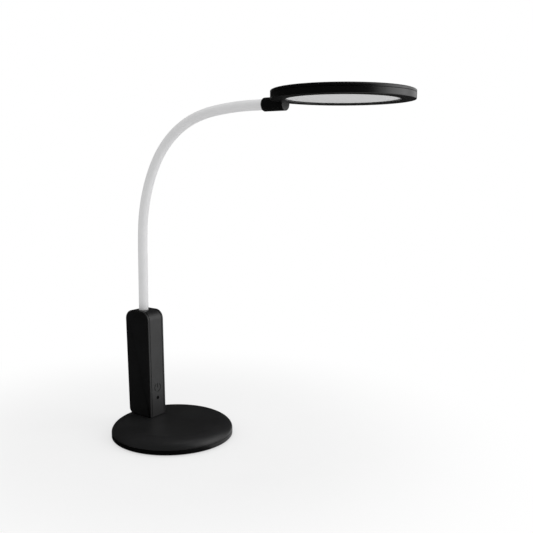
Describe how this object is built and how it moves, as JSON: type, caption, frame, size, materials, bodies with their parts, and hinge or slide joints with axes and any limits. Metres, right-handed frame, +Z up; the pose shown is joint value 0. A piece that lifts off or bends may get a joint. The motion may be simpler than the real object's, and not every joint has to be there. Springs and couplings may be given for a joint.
{
  "type": "gooseneck desk lamp",
  "caption": "Desk lamp with a weighted round base, an upright column with a touch key, a flexible silicone-covered neck and a flat round light head.",
  "frame": {"origin": "centre of the round base's foot pad, on the surface it stands on", "axes": "+Z up, +X from the column out over the base towards the light head, +Y to the left of someone looking along +X"},
  "size_m": [0.4654, 0.182, 0.498],
  "materials": {
    "base_shell": "fine satin moulding",
    "ballast_iron": "as cast, lightly machined",
    "foot_foam": "matt foam",
    "screw_steel": "zinc plated",
    "stand_steel": "zinc plated sheet",
    "column_band_black": "fine satin moulding",
    "column_side_black": "fine satin moulding",
    "window_dark": "polished",
    "board_green": "solder mask",
    "parts_black": "moulded",
    "contact_brass": "plated",
    "inlet_black": "moulded",
    "neck_steel": "drawn wire",
    "neck_silicone": "satin silicone",
    "head_black": "fine satin moulding",
    "diffuser_opal": "frosted opal",
    "guide_acrylic": "clear acrylic",
    "reflector_white": "white film",
    "strip_white": "white film",
    "led_phosphor": "phosphor",
    "plate_aluminium": "mill finish"
  },
  "bodies": {
    "lamp_base": {"base_cover": "base_shell", "base_tray": "base_shell", "ballast": "ballast_iron", "foot_pad": "foot_foam", "base_screws": "screw_steel", "stand": "stand_steel", "stand_screws": "screw_steel", "column_band": "column_band_black", "column_cover_left": "column_side_black", "column_cover_right": "column_side_black", "column_screws": "screw_steel", "indicator_window": "window_dark", "control_board": "board_green", "board_parts": "parts_black", "touch_spring": "contact_brass", "board_screws": "screw_steel", "power_inlet": "inlet_black", "inlet_pin": "contact_brass", "neck_root": "neck_steel", "neck_nut": "screw_steel", "neck_washer": "screw_steel", "neck_sleeve_root": "neck_silicone"},
    "link_1": {"neck_core_1": "neck_steel", "neck_sleeve_1": "neck_silicone"},
    "link_2": {"neck_core_2": "neck_steel", "neck_sleeve_2": "neck_silicone"},
    "link_3": {"neck_core_3": "neck_steel", "neck_sleeve_3": "neck_silicone"},
    "link_4": {"neck_core_4": "neck_steel", "neck_sleeve_4": "neck_silicone"},
    "link_5": {"neck_core_5": "neck_steel", "neck_sleeve_5": "neck_silicone"},
    "link_6": {"neck_core_6": "neck_steel", "neck_sleeve_6": "neck_silicone"},
    "link_7": {"neck_core_7": "neck_steel", "neck_sleeve_7": "neck_silicone"},
    "link_8": {"neck_core_8": "neck_steel", "neck_sleeve_8": "neck_silicone"},
    "link_9": {"neck_core_9": "neck_steel", "neck_sleeve_9": "neck_silicone"},
    "link_10": {"neck_core_10": "neck_steel", "neck_sleeve_10": "neck_silicone"},
    "link_11": {"neck_core_11": "neck_steel", "neck_sleeve_11": "neck_silicone"},
    "link_12": {"neck_core_12": "neck_steel", "neck_sleeve_12": "neck_silicone"},
    "head": {"neck_tip": "neck_steel", "neck_sleeve_tip": "neck_silicone", "barrel": "head_black", "barrel_screws": "screw_steel", "head_bracket": "stand_steel", "head_rim": "head_black", "head_cover": "head_black", "diffuser": "diffuser_opal", "light_guide": "guide_acrylic", "reflector": "reflector_white", "led_strip": "strip_white", "leds": "led_phosphor", "back_plate": "plate_aluminium", "head_screws": "screw_steel"}
  },
  "joints": [
    {"name": "neck_lower_sway", "type": "hinge", "parent": "lamp_base", "child": "link_1", "pos_m": [-0.0572, 0, 0.20327], "axis": [1, 0, 0], "range_deg": [-12, 12]},
    {"name": "neck_lower_bend", "type": "hinge", "parent": "link_1", "child": "link_2", "pos_m": [-0.0572, 0, 0.23781], "axis": [0, 1, 0], "range_deg": [-8, 8]},
    {"name": "neck_lower_sway_2", "type": "hinge", "parent": "link_2", "child": "link_3", "pos_m": [-0.0572, 0, 0.27235], "axis": [1, 0, 0], "range_deg": [-12, 12]},
    {"name": "neck_lower_bend_2", "type": "hinge", "parent": "link_3", "child": "link_4", "pos_m": [-0.05645, 0, 0.30687], "axis": [0, 1, 0], "range_deg": [-8, 8]},
    {"name": "neck_lower_bend_3", "type": "hinge", "parent": "link_4", "child": "link_5", "pos_m": [-0.05238, 0, 0.34114], "axis": [0, 1, 0], "range_deg": [-8, 8]},
    {"name": "neck_upper_bend", "type": "hinge", "parent": "link_5", "child": "link_6", "pos_m": [-0.0432, 0, 0.3744], "axis": [0, 1, 0], "range_deg": [-7, 4]},
    {"name": "neck_upper_bend_2", "type": "hinge", "parent": "link_6", "child": "link_7", "pos_m": [-0.02891, 0, 0.4058], "axis": [0, 1, 0], "range_deg": [-9.8, 5.6]},
    {"name": "neck_upper_bend_3", "type": "hinge", "parent": "link_7", "child": "link_8", "pos_m": [-0.00859, 0, 0.43362], "axis": [0, 1, 0], "range_deg": [-11.2, 6.4]},
    {"name": "neck_upper_bend_4", "type": "hinge", "parent": "link_8", "child": "link_9", "pos_m": [0.01781, 0, 0.45577], "axis": [0, 1, 0], "range_deg": [-11.2, 6.4]},
    {"name": "neck_upper_bend_5", "type": "hinge", "parent": "link_9", "child": "link_10", "pos_m": [0.04875, 0, 0.47094], "axis": [0, 1, 0], "range_deg": [-11.2, 6.4]},
    {"name": "neck_upper_sway", "type": "hinge", "parent": "link_10", "child": "link_11", "pos_m": [0.08223, 0, 0.4792], "axis": [0.1488, 0, -0.9889], "range_deg": [-12, 12]},
    {"name": "neck_upper_bend_6", "type": "hinge", "parent": "link_11", "child": "link_12", "pos_m": [0.11654, 0, 0.48307], "axis": [0, 1, 0], "range_deg": [-5.6, 3.2]},
    {"name": "neck_upper_sway_2", "type": "hinge", "parent": "link_12", "child": "head", "pos_m": [0.15105, 0, 0.48435], "axis": [0, 0, -1], "range_deg": [-12, 12]}
  ],
  "couplings": [
    {"joint": "neck_lower_sway_2", "follows": "neck_lower_sway", "ratio": 1},
    {"joint": "neck_lower_bend_2", "follows": "neck_lower_bend", "ratio": 1},
    {"joint": "neck_lower_bend_3", "follows": "neck_lower_bend", "ratio": 1},
    {"joint": "neck_upper_bend_2", "follows": "neck_upper_bend", "ratio": 1.4},
    {"joint": "neck_upper_bend_3", "follows": "neck_upper_bend", "ratio": 1.6},
    {"joint": "neck_upper_bend_4", "follows": "neck_upper_bend", "ratio": 1.6},
    {"joint": "neck_upper_bend_5", "follows": "neck_upper_bend", "ratio": 1.6},
    {"joint": "neck_upper_bend_6", "follows": "neck_upper_bend", "ratio": 0.8},
    {"joint": "neck_upper_sway_2", "follows": "neck_upper_sway", "ratio": 1}
  ]
}
